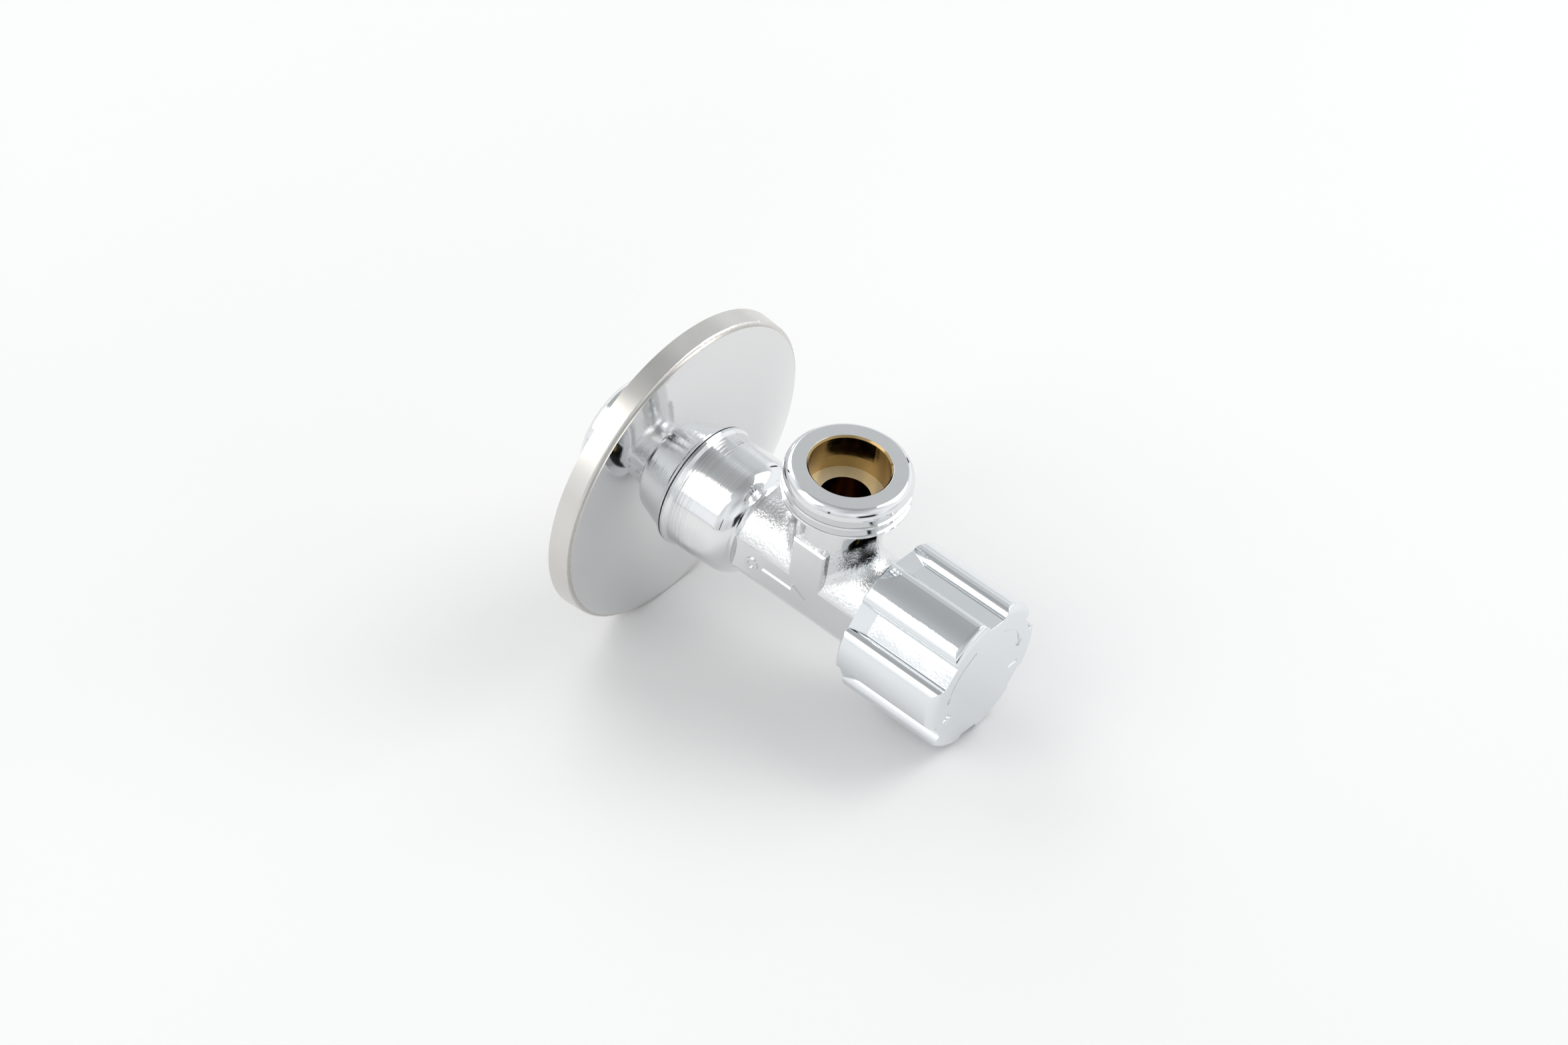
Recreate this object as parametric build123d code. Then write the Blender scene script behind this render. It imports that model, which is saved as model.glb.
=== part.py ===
from build123d import *
import os
from math import cos, hypot, radians, sin, sqrt

# Angle stop valve, 1/2 in x 1/2 in, with a loose wall rosette and a six-lobed handle.
# The valve axis is Y: +Y points into the wall and -Y towards the user.
# The outlet points up, along +Z. The origin is on the valve axis in the finished wall's plane.
# Stations along the valve axis are given as the distance from the outlet axis towards the handle,
# so the inlet has negative stations. Millimetres throughout.

# ---- Driving dimensions -------------------------------------------------------------------
OUTLET_Y = -35.6            # the outlet axis, in front of the wall plane

# pipe thread G 1/2
THREAD_R = 10.48            # crest radius
THREAD_DEPTH = 1.16
THREAD_PITCH = 1.814
THREAD_CREST = 0.42         # flat width on a crest
THREAD_ROOT = 0.30          # flat width in a root

# body
INLET_END = -46.2
INLET_THREAD_END = -30.2
LAND_R = 10.68              # plain land under the rosette's hole
LAND_END = -29.0
RELIEF = 0.6                # length of the thread's run-out cone and of its undercut
INLET_LEAD = 0.9            # chamfer at the tip of the inlet thread
COLLAR_BACK = -27.4
COLLAR_BACK_R = 11.05       # narrow flange against the rosette
COLLAR_LIP = 0.5
COLLAR_LIP_CONE = 0.6
COLLAR_R = 10.62
COLLAR_FRONT = -17.9
COLLAR_FRONT_R = 10.38
SHOULDER_MID = (9.93, -16.3)
SHOULDER_FOOT = (8.95, -15.05)
SHOULDER_BLEND = (8.4, -14.5)
BARREL_START = -13.7
BARREL_R = 8.2
BARREL_END = 13.5
BARREL_CHAMFER = 0.4
BARREL_FLAT = 7.6           # half the width across the forged side flats
FLAT_START, FLAT_END = -14.5, 14.1
NECK_R = 7.0
NECK_FILLET = 3.0
HEAD_BOTTOM = 18.7          # height of the threaded outlet head above the axis
HEAD_BOTTOM_CHAMFER = (0.5, 0.35)
HEAD_CHAMFER = 23.1
HEAD_CHAMFER_MID = (10.05, 24.15)
HEAD_TOP = 24.7
HEAD_FACE_R = 9.3
PAD_BACK, PAD_FRONT = -3.5, 3.1
PAD_TOP = 11.3
PAD_THICKNESS = 3.0         # inwards from the side flat
PAD_CHAMFER = 0.35
MARK_RELIEF = 0.25          # height of the raised arrow and ring on the side flat
MARK_ROOT = 0.2             # their depth below it
MARK_AT = (-3.6, -0.2)      # station and height of the middle
ARROW_SHAFT = (6.4, 0.9)
ARROW_SHAFT_MIDDLE = -1.6
ARROW_HEAD = (1.4, 4.4)
ARROW_HEAD_HALF = 1.6
RING_MIDDLE = -7.0
RING_R, RING_HOLE_R = 1.25, 0.75

# waterway
CUT = 1.0                   # how far a cutter stands out of the solid that it cuts
INLET_BORE_R = 7.5
INLET_COUNTERSINK = 0.7
INLET_BORE_END = -17.0
INLET_CONE = 0.6            # length of the cone to the seat port, over its step in radius
PORT_R = 4.6
SEAT = -6.5
SEAT_LIP_R = 5.5
SEAT_LIP = 0.9
CHAMBER_R = 6.05
BONNET_BORE_R = 6.6
BONNET_BORE_START = 4.4
BONNET_BORE_CONE = 0.5
OUTLET_BORE_R = 6.6
OUTLET_LEDGE = 18.0
OUTLET_PORT_R = 4.2
OUTLET_RIM = 0.3

# rosette
ROSETTE_R = 28.6
ROSETTE_FRONT_R = 28.35
ROSETTE_SKIRT = 3.7
ROSETTE_WALL = 0.8
ROSETTE_HOLE_R = 10.75
ROSETTE_FACE_R = 27.6
ROSETTE_BEAD = 0.4          # rounding between the skirt and the rim of the face
ROSETTE_STEP = 0.35         # fine step from the rim up to the domed face
ROSETTE_HEIGHT = 8.1        # wall plane to the face at the hole

# headwork
BONNET_R = 6.5
BONNET_START = 4.6
BONNET_LEAD = 0.5
SEAL_GROOVE = (11.9, 13.3)
SEAL_GROOVE_R = 5.5
SEAL_SECTION_R = 0.53
HEX_START, HEX_END = 13.6, 17.4
HEX_FLATS = 15.0
HEX_CORNER_R = 8.8
HEX_CHAMFER_R = 7.7
HEX_CHAMFER = 0.7
BONNET_NECK_R = 5.0
BONNET_END = 20.6
GUIDE_FLATS = 8.0
GUIDE_END = 12.9
COLLAR_POCKET_R = 4.1
COLLAR_POCKET_END = 14.85
SPINDLE_BORE_R = 3.06
FIT = 0.05                  # running clearance on a radius

# spindle
SPINDLE_R = 3.0
SPINDLE_START = 3.8
SPINDLE_THREAD_R = 2.5
SPINDLE_LEAD = 0.4
SPINDLE_COLLAR = (13.1, 14.3)
SPINDLE_COLLAR_R = 3.9
THRUST_WASHER = 0.5
SPINDLE_END = 28.5
SPLINE_START = 21.9
SPLINE_TEETH = 18
SPLINE_DEPTH = 0.35
O_RING_STATIONS = (16.35, 18.45)
O_RING_GROOVE = 1.1
O_RING_GROOVE_R = 2.2
O_RING_GAP = 0.01           # clearance of the fitted ring from its groove
CLIP_GROOVE = (20.66, 21.3)
CLIP_GROOVE_R = 2.5
CLIP_R = 4.3
CLIP_OPENING = 3.0
CLIP_GAP = 0.02

# piston and disc, with the valve shut
PISTON_END = 8.0
PISTON_HEAD = (-4.0, -2.5)
PISTON_HEAD_R = 5.65
PISTON_SKIRT = 1.0          # rim that holds the disc
PISTON_SKIRT_R = 5.25
PISTON_CHAMFER = 0.3
PISTON_CORNER_R = 4.35
PISTON_THREAD_START = -1.0
DISC_R = 5.2
DISC_CHAMFER = 0.3
DISC_HOLE_R = 1.6
SCREW_R = 1.5
SCREW_HEAD_R = 2.6
SCREW_HEAD = 1.4
SCREW_HEAD_MID = (2.35, 1.05)
SCREW_HEAD_TOP_R = 1.7
SCREW_HEAD_SIDE = 0.4
SCREW_END = -1.5
SCREW_TIP = 0.3
SLOT_WIDTH, SLOT_DEPTH = 0.7, 0.6
RETAINER_R = 3.3
RETAINER = 0.5

# handle
HANDLE_BACK, HANDLE_FACE = 12.0, 31.2
HANDLE_R = 13.45
HANDLE_EDGE = 1.25          # rounding between the lobes and the end face
HANDLE_BACK_CHAMFER = 0.3
HANDLE_CAVITY_R = 10.1
HANDLE_CAVITY_END = 29.0
FLUTES = 6
FIRST_FLUTE = 36.0          # degrees, from -X towards +Z
FLUTE_WIDTH = 3.8           # of the flat floor
FLUTE_FLOOR = 11.45         # distance of the floor from the axis
FLUTE_BACK_FLOOR = 12.3     # the same at the back, where the floor rises in a ramp
FLUTE_RAMP_END = 15.0
FLUTE_SHOULDER_ANGLE = 18.4  # from a flute's middle to where its shoulder meets the lobe

# marks in the handle's face
FACE_MARK_R = 9.0
FACE_MARK_WIDTH = 0.45
FACE_MARK_DEPTH = 0.2
FACE_ARC = (22, 78)         # degrees from +Z, as are the tip and the sign
FACE_TIP = 9
FACE_TIP_WIDTH = 0.95
FACE_SIGN = 110
FACE_SIGN_LENGTH = 2.2

# insert in the handle
INSERT_START = 22.3
INSERT_GAP = 0.03
INSERT_HUB_R = 5.4
INSERT_RIM = 1.3
INSERT_RIBS = 6
INSERT_RIB_WIDTH = 1.2
INSERT_RIB_SETBACK = 1.0
INSERT_TIP_GAP = 0.2


# ---- Helpers ------------------------------------------------------------------------------
def y_at(station):
    """Row Y of a station measured from the outlet axis towards the handle."""
    return OUTLET_Y - station


def turned(start, *steps):
    """Solid of revolution about the valve axis.

    Points are (radius, station). A step of two points is an arc: its middle, then its end.
    """
    edges = []
    here = start
    for step in steps + (start,):
        if isinstance(step[0], tuple):
            middle, there = step
            edges.append(ThreePointArc(place(here), place(middle), place(there)))
        else:
            there = step
            edges.append(Line(place(here), place(there)))
        here = there
    return revolve(make_face(edges), axis=Axis.Y)


def place(point):
    """A (radius, station) pair as a point of the turning sketch."""
    return (point[0], y_at(point[1]))


def tube(outer, inner, start, end):
    """A plain ring or, with inner 0, a disc between two stations."""
    return turned((inner, start), (outer, start), (outer, end), (inner, end))


def rod(radius, start, end):
    return tube(radius, 0, start, end)


def o_ring(middle_radius, section_radius, station):
    ring = Torus(middle_radius, section_radius)
    return Pos(0, y_at(station), 0) * Rot(X=90) * ring


def prism(sketch, start, end):
    """Extrude a sketch drawn across the valve axis, from one station to another."""
    plane = Plane(origin=(0, y_at(start), 0), x_dir=(1, 0, 0), z_dir=(0, -1, 0))
    return extrude(plane * sketch, amount=end - start)


def upright(solid):
    """Stand a solid turned about the valve axis on the outlet axis, station 0 at the crossing."""
    return Pos(0, OUTLET_Y, 0) * Rot(X=-90) * Pos(0, -OUTLET_Y, 0) * solid


def hexagon(flats):
    return RegularPolygon(flats / sqrt(3), 6)


def around(angle):
    """Turn about the valve axis, from -X towards +Z."""
    return Rot(Y=angle)


def thread_grooves(start, end, direction):
    """Ring of V grooves between two stations, one per pitch, for a G 1/2 male thread."""
    flank = (THREAD_PITCH - THREAD_CREST - THREAD_ROOT) / 2
    root_r = THREAD_R - THREAD_DEPTH
    count = int((abs(end - start) - THREAD_CREST) / THREAD_PITCH)
    grooves = []
    for i in range(count):
        near = start + direction * (THREAD_CREST + i * THREAD_PITCH)
        far = near + direction * (2 * flank + THREAD_ROOT)
        grooves.append(turned(
            (THREAD_R, near), (root_r, near + direction * flank), (root_r, far - direction * flank),
            (THREAD_R, far), (THREAD_R + CUT, far), (THREAD_R + CUT, near)))
    return grooves


# ---- Body ---------------------------------------------------------------------------------
def body_shell():
    """Outside of the forging: inlet shank, collar, barrel, neck and outlet head."""
    barrel = turned(
        (0, COLLAR_BACK), (COLLAR_BACK_R, COLLAR_BACK), (COLLAR_BACK_R, COLLAR_BACK + COLLAR_LIP),
        (COLLAR_R, COLLAR_BACK + COLLAR_LIP + COLLAR_LIP_CONE), (COLLAR_FRONT_R, COLLAR_FRONT),
        (SHOULDER_MID, SHOULDER_FOOT), (SHOULDER_BLEND, (BARREL_R, BARREL_START)),
        (BARREL_R, BARREL_END - BARREL_CHAMFER), (BARREL_R - BARREL_CHAMFER, BARREL_END),
        (0, BARREL_END))
    shell = barrel + upright(rod(NECK_R, 0, HEAD_BOTTOM))
    return fillet(shell.edges().filter_by(is_neck_root), NECK_FILLET)


def is_neck_root(edge):
    """The edge where the neck meets the barrel."""
    middle = edge @ 0.5
    away = sqrt(middle.X ** 2 + (middle.Y - OUTLET_Y) ** 2)
    return abs(away - NECK_R) < 0.05 and 1 < middle.Z < BARREL_R + 0.1


def side_flats():
    """What the forging dies leave off both sides of the barrel."""
    block = Box(BARREL_R, FLAT_END - FLAT_START, 2 * PAD_TOP)
    middle = y_at((FLAT_START + FLAT_END) / 2)
    return [Pos(side * (BARREL_FLAT + BARREL_R / 2), middle, 0) * block for side in (-1, 1)]


def side_pad():
    """Flat pad that runs from each side flat up the neck."""
    middle = y_at((PAD_FRONT + PAD_BACK) / 2)
    pads = []
    for side in (-1, 1):
        block = Box(PAD_THICKNESS, PAD_FRONT - PAD_BACK, PAD_TOP)
        block = Pos(side * (BARREL_FLAT - PAD_THICKNESS / 2), middle, PAD_TOP / 2) * block
        rim = block.edges().filter_by(Axis.Z).sort_by(Axis.X)
        rim = rim[:2] if side < 0 else rim[2:]
        crown = block.edges().filter_by(Axis.Y).group_by(Axis.Z)[-1].sort_by(Axis.X)
        crown = crown[:1] if side < 0 else crown[-1:]
        pads.append(chamfer(list(rim) + list(crown), PAD_CHAMFER))
    return pads


def outlet_head():
    """Threaded head of the outlet, with its chamfered rim and flat gasket face."""
    across, along = HEAD_BOTTOM_CHAMFER
    head = turned(
        (0, HEAD_BOTTOM), (THREAD_R - across, HEAD_BOTTOM), (THREAD_R, HEAD_BOTTOM + along),
        (THREAD_R, HEAD_CHAMFER), (HEAD_CHAMFER_MID, (HEAD_FACE_R, HEAD_TOP)), (0, HEAD_TOP))
    for groove in thread_grooves(HEAD_BOTTOM + along, HEAD_CHAMFER, 1):
        head -= groove
    return upright(head)


def inlet_shank():
    """Threaded inlet shank and the plain land that the rosette hangs on."""
    root_r = THREAD_R - THREAD_DEPTH
    thread_start = INLET_THREAD_END - RELIEF
    shank = turned(
        (0, COLLAR_BACK), (LAND_R, COLLAR_BACK), (LAND_R, LAND_END),
        (root_r, LAND_END - RELIEF), (root_r, INLET_THREAD_END), (THREAD_R, thread_start),
        (THREAD_R, INLET_END + INLET_LEAD), (THREAD_R - INLET_LEAD, INLET_END), (0, INLET_END))
    for groove in thread_grooves(thread_start, INLET_END + INLET_LEAD, -1):
        shank -= groove
    return shank


def waterway():
    """Inlet bore, disc chamber with the bonnet's bore, and outlet, as cutters."""
    step = INLET_BORE_R - PORT_R
    mouth = INLET_END - CUT
    inlet = turned((0, mouth), (INLET_BORE_R + CUT + INLET_COUNTERSINK, mouth),
                   (INLET_BORE_R, INLET_END + INLET_COUNTERSINK),
                   (INLET_BORE_R, INLET_BORE_END - step * INLET_CONE),
                   (PORT_R, INLET_BORE_END), (PORT_R, SEAT), (0, SEAT))
    chamber = turned((0, SEAT), (SEAT_LIP_R, SEAT), (SEAT_LIP_R, SEAT - SEAT_LIP),
                     (CHAMBER_R, SEAT - SEAT_LIP), (CHAMBER_R, BONNET_BORE_START),
                     (BONNET_BORE_R, BONNET_BORE_START + BONNET_BORE_CONE),
                     (BONNET_BORE_R, BARREL_END + CUT), (0, BARREL_END + CUT))
    outlet = upright(turned(
        (0, 0), (OUTLET_PORT_R, 0), (OUTLET_PORT_R, OUTLET_LEDGE), (OUTLET_BORE_R, OUTLET_LEDGE),
        (OUTLET_BORE_R, HEAD_TOP - OUTLET_RIM), (OUTLET_BORE_R + OUTLET_RIM, HEAD_TOP),
        (OUTLET_BORE_R + OUTLET_RIM, HEAD_TOP + CUT), (0, HEAD_TOP + CUT)))
    return [inlet, chamber, outlet]


def flow_arrow():
    """Raised arrow and ring on the side flat, from the inlet towards the handle."""
    station, height = MARK_AT
    head_start, tip = ARROW_HEAD
    shaft = Pos(ARROW_SHAFT_MIDDLE, 0) * Rectangle(*ARROW_SHAFT)
    head = make_face(Polyline((head_start, ARROW_HEAD_HALF), (tip, 0), (head_start, -ARROW_HEAD_HALF),
                              close=True))
    ring = Pos(RING_MIDDLE, 0) * (Circle(RING_R) - Circle(RING_HOLE_R))
    side = Plane(origin=(MARK_ROOT - BARREL_FLAT, y_at(station), height), x_dir=(0, -1, 0),
                 z_dir=(-1, 0, 0))
    return extrude(side * (shaft + head + ring), amount=MARK_RELIEF + MARK_ROOT)


def valve_body():
    body = body_shell()
    for cut in side_flats():
        body -= cut
    for pad in side_pad():
        body += pad
    body += outlet_head()
    body += inlet_shank()
    for bore in waterway():
        body -= bore
    body += flow_arrow()
    return body


# ---- Rosette ------------------------------------------------------------------------------
def wall_rosette():
    """Pressed wall plate: a straight skirt, a fine bead and a shallow domed face."""
    wall = OUTLET_Y                       # station of the wall plane
    front = wall + ROSETTE_SKIRT
    top = wall + ROSETTE_HEIGHT
    middle_r = (ROSETTE_FACE_R + ROSETTE_HOLE_R) / 2
    sag = (middle_r ** 2 - ROSETTE_HOLE_R ** 2) / (ROSETTE_FACE_R ** 2 - ROSETTE_HOLE_R ** 2)
    edge = front + ROSETTE_STEP
    middle = top - sag * (top - edge)
    t, bead = ROSETTE_WALL, ROSETTE_BEAD
    return turned(
        (ROSETTE_R, wall), (ROSETTE_FRONT_R, front - bead),
        ((ROSETTE_FRONT_R - 0.3 * bead, front - 0.3 * bead), (ROSETTE_FRONT_R - bead, front)),
        (ROSETTE_FACE_R, front), (ROSETTE_FACE_R, edge),
        ((middle_r, middle), (ROSETTE_HOLE_R, top)),
        (ROSETTE_HOLE_R, top - t),
        ((middle_r, middle - t), (ROSETTE_FACE_R - t / 2, edge - t)),
        (ROSETTE_FRONT_R - t, front - t - bead), (ROSETTE_R - t, wall))


# ---- Headwork -----------------------------------------------------------------------------
def bonnet():
    """Threaded bonnet with its hexagon, the piston's hexagonal guide and the spindle bore."""
    groove_start, groove_end = SEAL_GROOVE
    plug = turned(
        (0, BONNET_START), (BONNET_R - BONNET_LEAD, BONNET_START),
        (BONNET_R, BONNET_START + BONNET_LEAD), (BONNET_R, groove_start),
        (SEAL_GROOVE_R, groove_start), (SEAL_GROOVE_R, groove_end), (BONNET_R, groove_end),
        (BONNET_R, HEX_START), (0, HEX_START))
    nut = prism(hexagon(HEX_FLATS), HEX_START, HEX_END)
    nut &= turned((0, HEX_START), (HEX_CORNER_R, HEX_START), (HEX_CORNER_R, HEX_END - HEX_CHAMFER),
                  (HEX_CHAMFER_R, HEX_END), (0, HEX_END))
    solid = plug + nut + rod(BONNET_NECK_R, HEX_END, BONNET_END)
    solid -= prism(hexagon(GUIDE_FLATS), BONNET_START - CUT, GUIDE_END)
    solid -= rod(COLLAR_POCKET_R, GUIDE_END, COLLAR_POCKET_END)
    solid -= rod(SPINDLE_BORE_R, GUIDE_END, BONNET_END + CUT)
    return solid


def bonnet_o_ring():
    return o_ring((SEAL_GROOVE_R + BONNET_BORE_R) / 2, SEAL_SECTION_R, sum(SEAL_GROOVE) / 2)


def spline_outline(gap=0.0):
    """Outline of the fine spline that turns the handle, with a gap round it for the hub."""
    tip = SPINDLE_R + gap
    root = tip - SPLINE_DEPTH
    points = []
    for i in range(SPLINE_TEETH):
        for share, r in ((0.0, root), (0.25, root), (0.5, tip), (0.75, tip)):
            points.append(polar(r, 360 * (i + share) / SPLINE_TEETH))
    return make_face(Polyline(*points, close=True))


def spindle():
    """Stem with its driving thread, thrust collar, ring grooves and spline."""
    collar_start, collar_end = SPINDLE_COLLAR
    clip_start, clip_end = CLIP_GROOVE
    solid = turned(
        (0, SPINDLE_START), (SPINDLE_THREAD_R - SPINDLE_LEAD, SPINDLE_START),
        (SPINDLE_THREAD_R, SPINDLE_START + SPINDLE_LEAD), (SPINDLE_THREAD_R, collar_start),
        (SPINDLE_COLLAR_R, collar_start), (SPINDLE_COLLAR_R, collar_end),
        (SPINDLE_R, collar_end), (SPINDLE_R, clip_start), (CLIP_GROOVE_R, clip_start),
        (CLIP_GROOVE_R, clip_end), (SPINDLE_R, clip_end),
        (SPINDLE_R - SPLINE_DEPTH, SPLINE_START), (0, SPLINE_START))
    half = O_RING_GROOVE / 2
    for station in O_RING_STATIONS:
        solid -= tube(SPINDLE_R + CUT, O_RING_GROOVE_R, station - half, station + half)
    solid += prism(spline_outline(), SPLINE_START, SPINDLE_END)
    return solid


def spindle_o_ring(station):
    inner, outer = O_RING_GROOVE_R + O_RING_GAP, SPINDLE_BORE_R - 4 * O_RING_GAP
    return o_ring((inner + outer) / 2, (outer - inner) / 2, station)


def spindle_thrust_washer():
    start = SPINDLE_COLLAR[1]
    return tube(SPINDLE_COLLAR_R, SPINDLE_R + FIT, start, start + THRUST_WASHER)


def spindle_circlip():
    """Open retaining ring in the spindle's groove, above the bonnet."""
    start, end = CLIP_GROOVE
    ring = tube(CLIP_R, CLIP_GROOVE_R + CLIP_GAP, start + 2 * CLIP_GAP, end - CLIP_GAP)
    opening = Pos(0, y_at((start + end) / 2), CLIP_R) * Box(CLIP_OPENING, CUT, 2 * (CLIP_R - 1))
    return ring - opening


# ---- Piston and disc ----------------------------------------------------------------------
def valve_piston():
    """Disc holder that climbs the spindle's thread and is kept from turning by its hexagon."""
    head_start, head_end = PISTON_HEAD
    skirt = head_start - PISTON_SKIRT
    head = turned((0, head_start), (PISTON_SKIRT_R, head_start), (PISTON_SKIRT_R, skirt),
                  (PISTON_HEAD_R, skirt), (PISTON_HEAD_R, head_end - PISTON_CHAMFER),
                  (PISTON_HEAD_R - PISTON_CHAMFER, head_end), (0, head_end))
    stem = prism(hexagon(GUIDE_FLATS - 2 * FIT), head_end, PISTON_END)
    stem &= rod(PISTON_CORNER_R, head_end, PISTON_END)
    solid = head + stem
    solid -= rod(SPINDLE_THREAD_R + FIT, PISTON_THREAD_START, PISTON_END + CUT)
    solid -= rod(SCREW_R + FIT, head_start - CUT, PISTON_THREAD_START + CUT)
    return solid


def disc_washer():
    """Rubber disc that closes the seat."""
    return turned((DISC_HOLE_R, SEAT), (DISC_R - DISC_CHAMFER, SEAT), (DISC_R, SEAT + DISC_CHAMFER),
                  (DISC_R, PISTON_HEAD[0]), (DISC_HOLE_R, PISTON_HEAD[0]))


def disc_retainer():
    return tube(RETAINER_R, SCREW_R + FIT, SEAT - RETAINER, SEAT)


def disc_screw():
    """Round-headed screw with a driver slot, which holds the disc on the piston."""
    under = SEAT - RETAINER
    top = under - SCREW_HEAD
    middle_r, middle_height = SCREW_HEAD_MID
    solid = turned((0, top), (SCREW_HEAD_TOP_R, top),
                   ((middle_r, under - middle_height), (SCREW_HEAD_R, under - SCREW_HEAD_SIDE)),
                   (SCREW_HEAD_R, under), (SCREW_R, under), (SCREW_R, SCREW_END - SCREW_TIP),
                   (SCREW_R - SCREW_TIP, SCREW_END), (0, SCREW_END))
    return solid - Pos(0, y_at(top), 0) * Box(SLOT_WIDTH, 2 * SLOT_DEPTH, 2 * SCREW_HEAD_R + CUT)


# ---- Handle -------------------------------------------------------------------------------
def flute_shoulder(side):
    """Rounded shoulder from a flute's floor to the lobe, tangent to the knob: start, middle, end."""
    lean = radians(side * FLUTE_SHOULDER_ANGLE)
    out_x, out_y = -cos(lean), sin(lean)
    start = (-FLUTE_FLOOR, side * FLUTE_WIDTH / 2)
    end = (HANDLE_R * out_x, HANDLE_R * out_y)
    reach = start[0] * out_x + start[1] * out_y
    radius = ((end[0] - start[0]) ** 2 + (end[1] - start[1]) ** 2) / (2 * (HANDLE_R - reach))
    centre = ((HANDLE_R - radius) * out_x, (HANDLE_R - radius) * out_y)
    half_x = start[0] + end[0] - 2 * centre[0]
    half_y = start[1] + end[1] - 2 * centre[1]
    share = radius / hypot(half_x, half_y)
    return start, (centre[0] + share * half_x, centre[1] + share * half_y), end


def flute_cutter():
    """One flute on the -X side: a flat floor between rounded shoulders, with a ramp at the back."""
    low, low_middle, low_end = flute_shoulder(-1)
    high, high_middle, high_end = flute_shoulder(1)
    beyond = -(HANDLE_R + CUT)
    section = make_face([
        Line(low, high), ThreePointArc(high, high_middle, high_end),
        Line(high_end, (beyond, high_end[1])), Line((beyond, high_end[1]), (beyond, low_end[1])),
        Line((beyond, low_end[1]), low_end), ThreePointArc(low_end, low_middle, low)])
    start, end = HANDLE_BACK - CUT, HANDLE_FACE + CUT
    side_view = make_face(Polyline(
        (-FLUTE_FLOOR, y_at(end)), (-FLUTE_FLOOR, y_at(FLUTE_RAMP_END)),
        (-FLUTE_BACK_FLOOR, y_at(HANDLE_BACK)), (-FLUTE_BACK_FLOOR, y_at(start)),
        (beyond, y_at(start)), (beyond, y_at(end)), close=True))
    return prism(section, start, end) & extrude(side_view, amount=HANDLE_R, both=True)


def face_marks():
    """Shallow turning arrows and signs in the handle's end face."""
    arc_start, arc_end = FACE_ARC
    width = FACE_MARK_WIDTH
    marks = []
    for side in (1, -1):
        end = 90 + side * arc_end
        arc = ring_sector(FACE_MARK_R, width, *sorted((90 + side * arc_start, end)))
        head = make_face(Polyline(
            polar(FACE_MARK_R + FACE_TIP_WIDTH, end), polar(FACE_MARK_R, end + side * FACE_TIP),
            polar(FACE_MARK_R - FACE_TIP_WIDTH, end), close=True))
        sign = Pos(*polar(FACE_MARK_R, 90 + side * FACE_SIGN))
        dash = sign * Rectangle(FACE_SIGN_LENGTH, width)
        if side > 0:
            dash += sign * Rectangle(width, FACE_SIGN_LENGTH)
        marks.append(prism(arc + head + dash, HANDLE_FACE - FACE_MARK_DEPTH, HANDLE_FACE + CUT))
    return marks


def polar(radius, angle):
    return (radius * cos(radians(angle)), radius * sin(radians(angle)))


def ring_sector(radius, width, low, high):
    """A narrow curved band between two angles."""
    middle = (low + high) / 2
    outer, inner = radius + width / 2, radius - width / 2
    return make_face([
        ThreePointArc(polar(outer, low), polar(outer, middle), polar(outer, high)),
        Line(polar(outer, high), polar(inner, high)),
        ThreePointArc(polar(inner, high), polar(inner, middle), polar(inner, low)),
        Line(polar(inner, low), polar(outer, low))])


def handle():
    """Lobed knob: a closed face, flat-floored flutes and an open back that covers the headwork."""
    e = HANDLE_EDGE
    quarter = 1 - cos(radians(45))
    knob = turned(
        (HANDLE_CAVITY_R, HANDLE_BACK), (HANDLE_R - HANDLE_BACK_CHAMFER, HANDLE_BACK),
        (HANDLE_R, HANDLE_BACK + HANDLE_BACK_CHAMFER), (HANDLE_R, HANDLE_FACE - e),
        ((HANDLE_R - e * quarter, HANDLE_FACE - e * quarter), (HANDLE_R - e, HANDLE_FACE)),
        (0, HANDLE_FACE), (0, HANDLE_CAVITY_END), (HANDLE_CAVITY_R, HANDLE_CAVITY_END))
    cutter = flute_cutter()
    for i in range(FLUTES):
        knob -= around(FIRST_FLUTE + i * 360 / FLUTES) * cutter
    for mark in face_marks():
        knob -= mark
    return knob


def handle_insert():
    """Moulded insert pressed into the knob: rim, ribs and a hub with the female spline."""
    rim_r = HANDLE_CAVITY_R - INSERT_GAP
    end = HANDLE_CAVITY_END - INSERT_GAP
    solid = tube(rim_r, rim_r - INSERT_RIM, INSERT_START, end)
    solid += rod(INSERT_HUB_R, INSERT_START, end)
    rib_start = INSERT_START + INSERT_RIB_SETBACK
    reach = rim_r - INSERT_RIM / 2
    rib = Box(reach, end - rib_start, INSERT_RIB_WIDTH)
    rib = Pos(reach / 2, y_at((rib_start + end) / 2), 0) * rib
    for i in range(INSERT_RIBS):
        solid += around(i * 360 / INSERT_RIBS) * rib
    return solid - prism(spline_outline(FIT), INSERT_START - CUT, SPINDLE_END + INSERT_TIP_GAP)


# ---- Write every piece ----------------------------------------------------------------------
PIECES = {
    "valve_body": valve_body,
    "wall_rosette": wall_rosette,
    "bonnet": bonnet,
    "bonnet_o_ring": bonnet_o_ring,
    "spindle": spindle,
    "spindle_o_ring_inner": lambda: spindle_o_ring(O_RING_STATIONS[0]),
    "spindle_o_ring_outer": lambda: spindle_o_ring(O_RING_STATIONS[1]),
    "spindle_thrust_washer": spindle_thrust_washer,
    "spindle_circlip": spindle_circlip,
    "valve_piston": valve_piston,
    "disc_washer": disc_washer,
    "disc_retainer": disc_retainer,
    "disc_screw": disc_screw,
    "handle": handle,
    "handle_insert": handle_insert,
}

os.makedirs("parts", exist_ok=True)
for name, make in PIECES.items():
    export_step(make(), f"parts/{name}.step")
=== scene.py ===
"""Looks of the angle stop valve: camera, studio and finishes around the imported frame.

Lengths are in metres.
"""

import math

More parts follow.
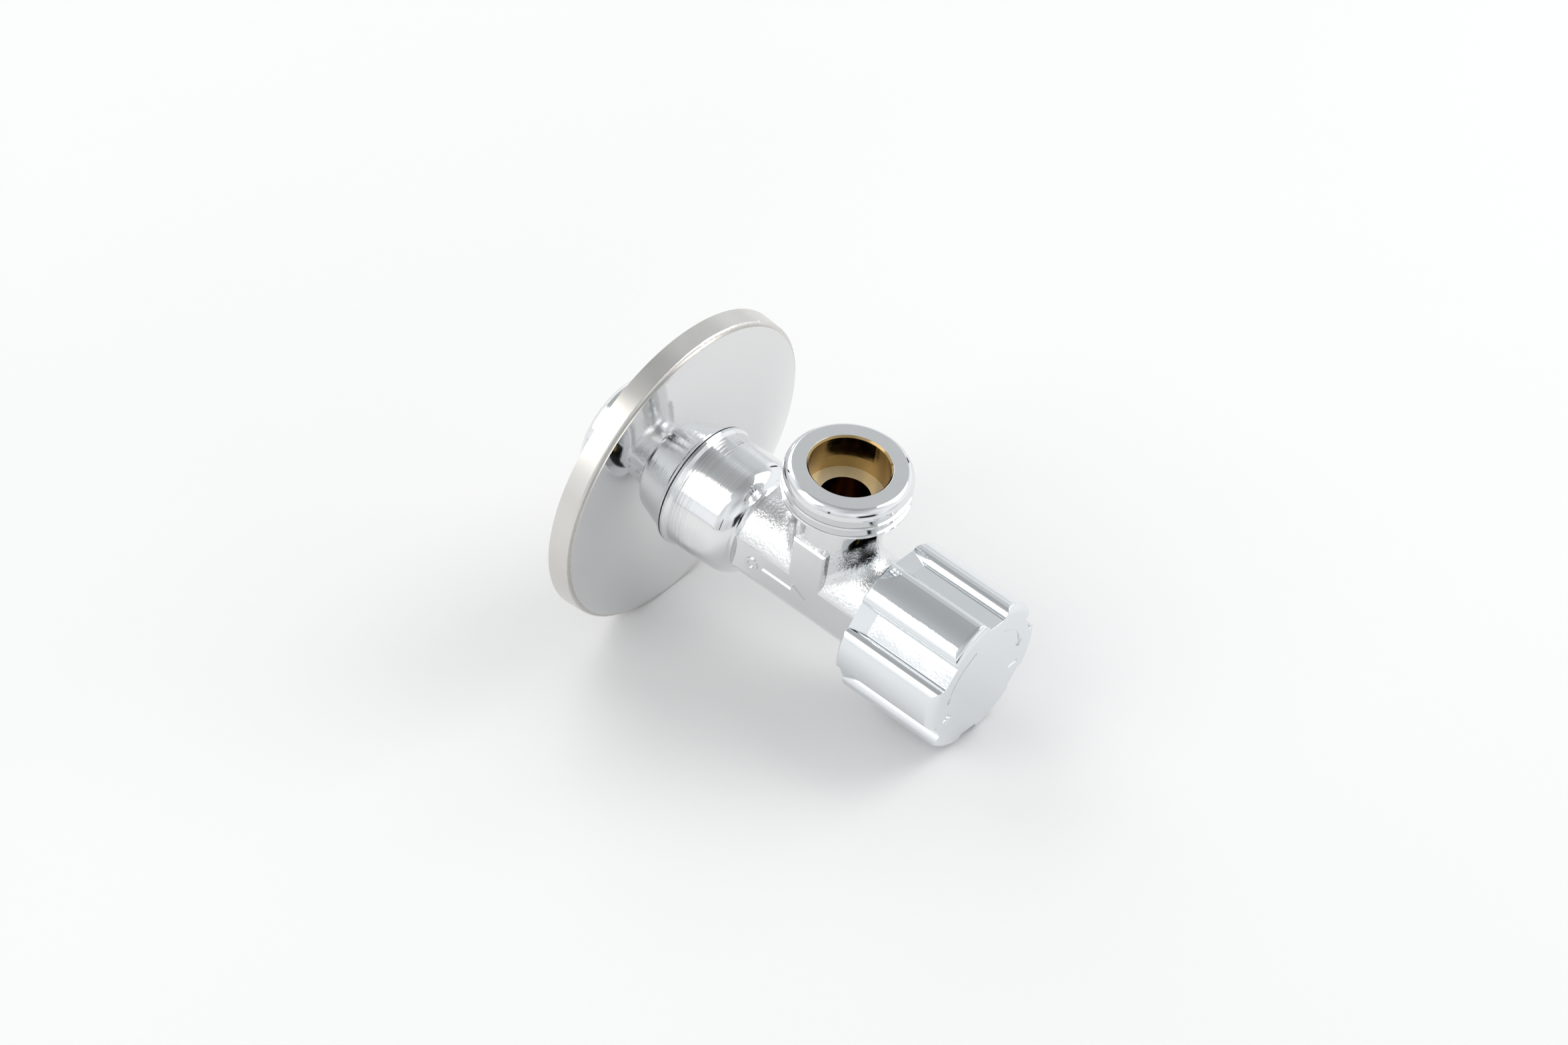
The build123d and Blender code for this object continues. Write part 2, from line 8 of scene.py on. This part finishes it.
import bpy
from mathutils import Matrix, Vector


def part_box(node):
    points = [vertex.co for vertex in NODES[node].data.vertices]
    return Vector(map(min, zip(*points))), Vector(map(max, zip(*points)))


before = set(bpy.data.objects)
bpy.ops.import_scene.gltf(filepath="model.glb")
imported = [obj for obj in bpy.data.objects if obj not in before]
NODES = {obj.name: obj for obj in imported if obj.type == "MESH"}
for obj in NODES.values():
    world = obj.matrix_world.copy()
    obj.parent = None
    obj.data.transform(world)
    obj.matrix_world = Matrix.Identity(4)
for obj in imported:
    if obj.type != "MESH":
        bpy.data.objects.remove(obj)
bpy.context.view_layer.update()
MM = 0.001

CAMERA_AZIMUTH = math.radians(-55.98)
CAMERA_ELEVATION = math.radians(45.62)
CAMERA_ROLL = math.radians(-8.82)
CAMERA_DISTANCE = 0.6444
CAMERA_AIM = Vector((-0.87, -25.45, 4.86)) * MM
CAMERA_LENS_MM = 91.96
SENSOR_MM = 36.0
NEAREST, FARTHEST = 0.01, 20

# Floor: half its size, the rows of faces in it, and how far past the valve its slope goes on
# before it levels out.
FLOOR_HALF = 1.6
FLOOR_ROWS = 160
FLOOR_FRONT_RUN = 0.012
FLOOR_BACK_END = 0.05
FLOOR_COLOUR = (0.83, 0.83, 0.835)

# Surroundings: brightness against height, from the horizon to straight above.
SKY = ((0.0, 0.97), (0.28, 1.0), (0.60, 0.90), (0.82, 0.74), (1.0, 0.52))
SKY_TINT = (0.965, 0.985, 1.0)
SKY_STRENGTH = 1.04
# Soft patches in them: how close together they are, the part of the noise that is used, and the
# brightness at its two ends.
SKY_PATCHES = 1.7
SKY_PATCH_NOISE = (0.35, 0.6)
SKY_PATCH_RANGE = (0.76, 1.08)

# Dark flags, which only reflections see: name, direction from the valve, distance, width, height.
FLAGS = (
    ("flag_front", (-0.32, -0.92, 0.12), 0.8, 0.56, 0.37),
    ("flag_left", (-0.95, -0.22, 0.16), 0.9, 0.065, 0.42),
    ("flag_right", (0.95, 0.10, 0.24), 0.9, 0.09, 0.37),
    ("flag_back", (-0.10, 0.95, 0.30), 0.9, 0.075, 0.32),
)
FLAG_COLOUR = (0.012, 0.013, 0.016)
# From a flag's middle to its edge, and the part of that where it is solid before it fades, as
# shares of its size.
FLAG_EDGE = 0.5
FLAG_SOLID = 0.27

# Soft boxes: name, direction from the valve, distance, width, height, power in watts, colour.
SOFT_BOXES = (
    ("key", (0.62, -0.35, 0.80), 0.9, 0.55, 0.55, 2.8, (1.0, 0.985, 0.955)),
    ("back", (0.25, 0.85, 0.55), 0.9, 0.70, 0.40, 1.4, (1.0, 0.99, 0.96)),
    ("side", (-0.68, 0.42, 0.66), 0.8, 0.46, 0.56, 1.25, (1.0, 0.965, 0.90)),
)

# The two axes: one point on each.
INLET = Vector((0.0, 0.0, 0.0))
OUTLET = Vector((0.0, -35.6, 0.0)) * MM

# Places on the body where its finish changes: its bores, and how far up a face looks where it is
# the outlet's ledge, which gets a paler brass that paints in the light falling on it from above.
BORE_R = 7.55 * MM
OUTLET_BORE_R = 6.85 * MM
OUTLET_BORE_LOW = 4.0 * MM
PAINTED_LIGHT_LEDGE_TILT = 0.9

# The forged grain fades out between the first and the second place: to the sides, up the neck and
# along the barrel.
GRAIN_SIDE = (7.2 * MM, 7.55 * MM)
GRAIN_TOP = (11.5 * MM, 14.0 * MM)
GRAIN_BACK = (-23.0 * MM, -20.5 * MM)
# The collar's turning lines fade out between these places along the inlet axis.
COLLAR_LINES = (-17.4 * MM, -18.2 * MM)

# The rosette's domed face: its radius, and how far to the front a face looks where it is part of it.
FACE_EDGE_R = 27.65 * MM
FACE_TILT = 0.1

# Sharp edges: the radius over which the light on them is rounded, and the samples that it takes.
BEVEL = 0.12 * MM
BEVEL_SAMPLES = 6

# The part of a noise texture that moves a shader value from one end to the other.
NOISE_RANGE = (0.3, 0.7)
# The Mix node's two colour inputs and its colour output.
MIX_A, MIX_B, MIX_RESULT = 6, 7, 2


# ---- Studio ---------------------------------------------------------------------------------
def make_camera():
    """The camera at the photograph's viewing angle."""
    back = Vector((
        math.sin(CAMERA_AZIMUTH) * math.cos(CAMERA_ELEVATION),
        -math.cos(CAMERA_AZIMUTH) * math.cos(CAMERA_ELEVATION),
        math.sin(CAMERA_ELEVATION),
    ))
    right = Vector((0, 0, 1)).cross(back).normalized()
    right = Matrix.Rotation(-CAMERA_ROLL, 3, back) @ right
    up = back.cross(right)
    camera = bpy.data.objects.new("camera", bpy.data.cameras.new("camera"))
    bpy.context.scene.collection.objects.link(camera)
    axes = Matrix((right, up, back)).transposed().to_4x4()
    camera.matrix_world = Matrix.Translation(CAMERA_AIM + back * CAMERA_DISTANCE) @ axes
    camera.data.lens = CAMERA_LENS_MM
    camera.data.sensor_width = SENSOR_MM
    camera.data.clip_start = NEAREST
    camera.data.clip_end = FARTHEST
    bpy.context.scene.camera = camera


def make_floor():
    """A pale floor that the valve lies on. It touches the rosette's rim and the handle, then levels out."""
    rim = -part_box("wall_rosette")[1].z
    handle_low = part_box("handle")[0]
    slope = (handle_low.z - rim) / handle_low.y
    near = handle_low.y - FLOOR_FRONT_RUN
    verts, faces = [], []
    for i in range(FLOOR_ROWS + 1):
        y = -FLOOR_HALF + 2 * FLOOR_HALF * i / FLOOR_ROWS
        z = rim + slope * min(max(y, near), FLOOR_BACK_END)
        verts += [(-FLOOR_HALF, y, z), (FLOOR_HALF, y, z)]
        if i:
            a = 2 * i
            faces.append((a - 2, a - 1, a + 1, a))
    mesh = bpy.data.meshes.new("floor")
    mesh.from_pydata(verts, [], faces)
    for face in mesh.polygons:
        face.use_smooth = True
    floor = bpy.data.objects.new("floor", mesh)
    bpy.context.scene.collection.objects.link(floor)
    finish = Finish("floor", FLOOR_COLOUR, metallic=0.0, roughness=0.65)
    finish.mottle_colour(FLOOR_COLOUR, scale=6.0, darkest=0.97)
    mesh.materials.append(finish.material)


def make_world():
    """Pale surroundings, darker overhead, with soft uneven patches as in a room."""
    world = bpy.data.worlds.new("world")
    bpy.context.scene.world = world
    world.use_nodes = True
    tree = world.node_tree
    background = tree.nodes["Background"]
    place = tree.nodes.new("ShaderNodeTexCoord").outputs["Generated"]
    split = tree.nodes.new("ShaderNodeSeparateXYZ")
    tree.links.new(place, split.inputs[0])
    ramp = tree.nodes.new("ShaderNodeValToRGB")
    ramp.color_ramp.interpolation = "EASE"
    stops = ramp.color_ramp.elements
    while len(stops) < len(SKY):
        stops.new(0.5)
    for stop, (height, value) in zip(stops, SKY):
        stop.position = height
        stop.color = (*(value * tint for tint in SKY_TINT), 1)
    tree.links.new(split.outputs["Z"], ramp.inputs[0])
    patches = tree.nodes.new("ShaderNodeTexNoise")
    patches.inputs["Scale"].default_value = SKY_PATCHES
    patches.inputs["Detail"].default_value = 0
    tree.links.new(place, patches.inputs["Vector"])
    spread = tree.nodes.new("ShaderNodeMapRange")
    spread.inputs["From Min"].default_value = SKY_PATCH_NOISE[0]
    spread.inputs["From Max"].default_value = SKY_PATCH_NOISE[1]
    spread.inputs["To Min"].default_value = SKY_PATCH_RANGE[0] * SKY_STRENGTH
    spread.inputs["To Max"].default_value = SKY_PATCH_RANGE[1] * SKY_STRENGTH
    tree.links.new(patches.outputs[0], spread.inputs["Value"])
    tree.links.new(ramp.outputs["Color"], background.inputs["Color"])
    tree.links.new(spread.outputs[0], background.inputs["Strength"])


def facing(direction, distance):
    """A place that far from the valve, turned to face it along its own -Z."""
    away = Vector(direction).normalized()
    turn = away.to_track_quat("Z", "Y").to_matrix().to_4x4()
    return Matrix.Translation(OUTLET + away * distance) @ turn


def make_flags():
    """Dark flags with soft edges, which give the chrome its dark accents."""
    finish = Finish("flag", FLAG_COLOUR, metallic=0.0, roughness=0.9)
    finish.mottle_colour(FLAG_COLOUR, scale=10.0, darkest=0.8)
    solid = [finish.fade(finish.maths("ABSOLUTE", finish.axis(a)), FLAG_SOLID, FLAG_EDGE) for a in "XY"]
    finish.tree.links.new(finish.maths("MULTIPLY", *solid), finish.shader.inputs["Alpha"])
    corners = [(x * FLAG_EDGE, y * FLAG_EDGE, 0) for x, y in ((-1, -1), (1, -1), (1, 1), (-1, 1))]
    for name, direction, distance, width, height in FLAGS:
        mesh = bpy.data.meshes.new(name)
        mesh.from_pydata(corners, [], [(0, 1, 2, 3)])
        mesh.materials.append(finish.material)
        flag = bpy.data.objects.new(name, mesh)
        bpy.context.scene.collection.objects.link(flag)
        flag.matrix_world = facing(direction, distance) @ Matrix.Diagonal((width, height, 1, 1))
        flag.visible_camera = flag.visible_diffuse = flag.visible_shadow = False


def make_soft_boxes():
    """Soft studio lights."""
    for name, direction, distance, width, height, power, colour in SOFT_BOXES:
        light = bpy.data.lights.new(name, "AREA")
        light.shape = "RECTANGLE"
        light.size, light.size_y = width, height
        light.energy = power
        light.color = colour
        box = bpy.data.objects.new(name, light)
        bpy.context.scene.collection.objects.link(box)
        box.matrix_world = facing(direction, distance)


# ---- Finishes -------------------------------------------------------------------------------
class Finish:
    """One procedural material: a Principled shader with texture nodes in the part's own coordinates."""

    def __init__(self, name, colour, metallic, roughness):
        self.material = bpy.data.materials.new(name)
        self.material.use_nodes = True
        self.tree = self.material.node_tree
        self.shader = self.tree.nodes["Principled BSDF"]
        self.shader.inputs["Base Color"].default_value = (*colour, 1)
        self.shader.inputs["Metallic"].default_value = metallic
        self.shader.inputs["Roughness"].default_value = roughness
        self.place = self.tree.nodes.new("ShaderNodeTexCoord").outputs["Object"]
        self.normal = None

    def add(self, kind, inputs, **settings):
        """Add a node, set or link its inputs by name or number, and return its first output."""
        node = self.tree.nodes.new("ShaderNode" + kind)
        for key, value in settings.items():
            setattr(node, key, value)
        for key, value in inputs.items():
            if isinstance(value, bpy.types.NodeSocket):
                self.tree.links.new(value, node.inputs[key])
            else:
                node.inputs[key].default_value = value
        return node.outputs[0]

    def maths(self, operation, a, b=0.0):
        """One step of arithmetic on shader values."""
        return self.add("Math", {0: a, 1: b}, operation=operation)

    def axis(self, letter):
        """One of the part's coordinates."""
        split = self.tree.nodes.new("ShaderNodeSeparateXYZ")
        self.tree.links.new(self.place, split.inputs[0])
        return split.outputs[letter]

    def fade(self, value, full, none):
        """1 where the value is at full, falling to 0 at none."""
        return self.add("MapRange", {"Value": value, "From Min": full, "From Max": none,
                                     "To Min": 1.0, "To Max": 0.0}, interpolation_type="SMOOTHSTEP")

    def noise(self, scale, detail=2.0, place=None):
        """A noise texture with that many patches to a metre."""
        return self.add("TexNoise", {"Vector": place or self.place, "Scale": scale, "Detail": detail})

    def turned_lines(self, centre, along, pitch):
        """Fine rings at that pitch round an axis through the centre, which runs along Y or Z."""
        across = "XZ" if along == "Y" else "XY"
        offsets = [self.maths("SUBTRACT", self.axis(a), centre["XYZ".index(a)]) for a in across]
        squares = [self.maths("MULTIPLY", d, d) for d in offsets]
        radius = self.maths("SQRT", self.maths("ADD", *squares))
        vector = self.add("CombineXYZ", {0: radius, 1: self.axis(along)})
        return self.noise(1 / pitch, detail=3.0, place=vector)

    def vary(self, socket, driver, low, high):
        """Let a texture move a shader value between two ends."""
        inputs = {"Value": driver, "To Min": low, "To Max": high}
        inputs["From Min"], inputs["From Max"] = NOISE_RANGE
        self.tree.links.new(self.add("MapRange", inputs), self.shader.inputs[socket])

    def mottle_colour(self, colour, scale, darkest):
        """Colour that varies over the surface, down to a given share of its brightness."""
        dark = tuple(darkest * c for c in colour)
        inputs = {0: self.noise(scale), MIX_A: (*dark, 1), MIX_B: (*colour, 1)}
        mix = self.add("Mix", inputs, data_type="RGBA").node
        self.tree.links.new(mix.outputs[MIX_RESULT], self.shader.inputs["Base Color"])

    def bump(self, height, depth, mask=None):
        """Add relief of a given depth, only where the mask is 1."""
        inputs = {"Height": height, "Distance": depth}
        if mask is not None:
            inputs["Strength"] = mask
        if self.normal is not None:
            inputs["Normal"] = self.normal
        self.normal = self.add("Bump", inputs)
        self.tree.links.new(self.normal, self.shader.inputs["Normal"])

    def soften_edges(self):
        """Round the light on sharp edges. It comes before any bump."""
        self.normal = self.add("Bevel", {"Radius": BEVEL}, samples=BEVEL_SAMPLES)
        self.tree.links.new(self.normal, self.shader.inputs["Normal"])


def body_chrome():
    """Bright chrome on a forging: grainy where it was left as forged, with turning lines on the collar."""
    colour = (0.81, 0.82, 0.825)
    finish = Finish("body_chrome", colour, metallic=1.0, roughness=0.05)
    finish.mottle_colour(colour, scale=90.0, darkest=0.94)
    finish.soften_edges()
    forged = finish.fade(finish.maths("ABSOLUTE", finish.axis("X")), *GRAIN_SIDE)
    forged = finish.maths("MULTIPLY", forged, finish.fade(finish.axis("Z"), *GRAIN_TOP))
    forged = finish.maths("MULTIPLY", forged, finish.fade(finish.axis("Y"), *GRAIN_BACK))
    collar = finish.fade(finish.axis("Y"), *COLLAR_LINES)
    finish.vary("Roughness", finish.noise(scale=300.0), low=0.03, high=0.09)
    finish.bump(finish.noise(scale=190.0), depth=0.045 * MM)
    finish.bump(finish.noise(scale=1900.0, detail=4.0), depth=0.13 * MM, mask=forged)
    finish.bump(finish.turned_lines(INLET, "Y", pitch=0.30 * MM), depth=0.03 * MM, mask=collar)
    return finish.material


def handle_chrome():
    """Bright chrome on a die casting, slightly wavy."""
    colour = (0.82, 0.845, 0.865)
    finish = Finish("handle_chrome", colour, metallic=1.0, roughness=0.04)
    finish.mottle_colour(colour, scale=70.0, darkest=0.96)
    finish.soften_edges()
    finish.vary("Roughness", finish.noise(scale=220.0), low=0.025, high=0.07)
    finish.bump(finish.noise(scale=110.0, detail=1.0), depth=0.06 * MM)
    finish.bump(finish.noise(scale=2200.0), depth=0.004 * MM)
    return finish.material


def satin_steel():
    """Satin stainless steel, brushed in rings."""
    colour = (0.72, 0.705, 0.68)
    finish = Finish("satin_steel", colour, metallic=1.0, roughness=0.3)
    finish.mottle_colour(colour, scale=60.0, darkest=0.92)
    finish.vary("Roughness", finish.noise(scale=140.0), low=0.24, high=0.34)
    finish.bump(finish.turned_lines(INLET, "Y", pitch=0.22 * MM), depth=0.003 * MM)
    return finish.material


def polished_steel():
    """The rosette's domed face: polished nearly to a mirror, with faint rings."""
    colour = (0.745, 0.745, 0.75)
    finish = Finish("polished_steel", colour, metallic=1.0, roughness=0.07)
    finish.mottle_colour(colour, scale=45.0, darkest=0.95)
    finish.vary("Roughness", finish.noise(scale=70.0), low=0.03, high=0.07)
    finish.bump(finish.turned_lines(INLET, "Y", pitch=0.6 * MM), depth=0.003 * MM)
    return finish.material


def turned_brass(name, centre, along):
    """Bare brass with fine turning rings."""
    colour = (0.44, 0.31, 0.14)
    finish = Finish(name, colour, metallic=1.0, roughness=0.14)
    finish.mottle_colour(colour, scale=400.0, darkest=0.75)
    finish.vary("Roughness", finish.noise(scale=500.0), low=0.10, high=0.20)
    finish.bump(finish.turned_lines(centre, along, pitch=0.25 * MM), depth=0.012 * MM)
    return finish.material


def faced_brass_painted_light():
    """Machined brass of the outlet's inner ledge: rougher than the bore, and painted paler than the bore's
    brass as painted light from above.
    """
    # Much paler than the bore's brass: painted light from above, on top of the machined finish.
    colour = (0.96, 0.86, 0.62)
    finish = Finish("faced_brass_painted_light", colour, metallic=0.5, roughness=0.4)
    finish.mottle_colour(colour, scale=500.0, darkest=0.85)
    finish.bump(finish.turned_lines(OUTLET, "Z", pitch=0.25 * MM), depth=0.02 * MM)
    return finish.material


def dull(name, colour, roughness, metallic=0.0, grain=1200.0, spread=0.15):
    """Rubber, plastic or steel with a fine grain. The spread is how much its roughness varies either way."""
    finish = Finish(name, colour, metallic, roughness)
    finish.mottle_colour(colour, scale=grain / 4, darkest=0.85)
    finish.vary("Roughness", finish.noise(scale=grain / 2),
                low=roughness * (1 - spread), high=roughness * (1 + spread))
    finish.bump(finish.noise(scale=grain, detail=3.0), depth=0.01 * MM)
    return finish.material


# ---- Which surface gets which finish ----------------------------------------------------------
def dress(names, *materials):
    """Give each node these materials, in the order of its slots."""
    for name in names:
        slots = NODES[name].data.materials
        slots.clear()
        for material in materials:
            slots.append(material)


def pick(name, choose):
    """Give each face of a node the material slot that a rule chooses from its middle and normal."""
    for face in NODES[name].data.polygons:
        face.material_index = choose(face.center, face.normal)


def body_slot(middle, normal):
    """0 for the plated outside, 1 for the inlet's bore, 2 and 3 for the outlet's bore and its up-facing
    ledge, whose paler brass is painted light from above.
    """
    if middle.z > OUTLET_BORE_LOW and math.hypot(middle.x, middle.y - OUTLET.y) < OUTLET_BORE_R:
        # Faces that look up get the paler brass, which paints the light falling on them from above.
        return 3 if normal.z > PAINTED_LIGHT_LEDGE_TILT else 2
    return 1 if math.hypot(middle.x, middle.z) < BORE_R else 0


def rosette_slot(middle, normal):
    """0 for the skirt and the back, 1 for the domed face."""
    return 1 if normal.y < -FACE_TILT and math.hypot(middle.x, middle.z) < FACE_EDGE_R else 0


def finish_everything():
    """Every node's finish."""
    inner_brass = turned_brass("turned_brass", INLET, "Y")
    outlet_brass = turned_brass("outlet_brass", OUTLET, "Z")
    dress(["valve_body"], body_chrome(), inner_brass, outlet_brass, faced_brass_painted_light())
    pick("valve_body", body_slot)
    dress(["wall_rosette"], satin_steel(), polished_steel())
    pick("wall_rosette", rosette_slot)
    dress(["handle"], handle_chrome())
    dress(["bonnet", "spindle", "valve_piston", "disc_retainer", "disc_screw"], inner_brass)
    dress(["bonnet_o_ring", "spindle_o_ring_inner", "spindle_o_ring_outer", "disc_washer"],
          dull("rubber", (0.02, 0.02, 0.022), 0.5))
    dress(["spindle_thrust_washer"], dull("ptfe", (0.86, 0.86, 0.83), 0.42))
    dress(["spindle_circlip"], dull("spring_steel", (0.30, 0.29, 0.28), 0.35, metallic=1.0))
    dress(["handle_insert"], dull("insert_plastic", (0.045, 0.045, 0.05), 0.45))


make_camera()
make_world()
make_soft_boxes()
make_flags()
make_floor()
finish_everything()
bpy.context.scene.view_settings.view_transform = "Standard"
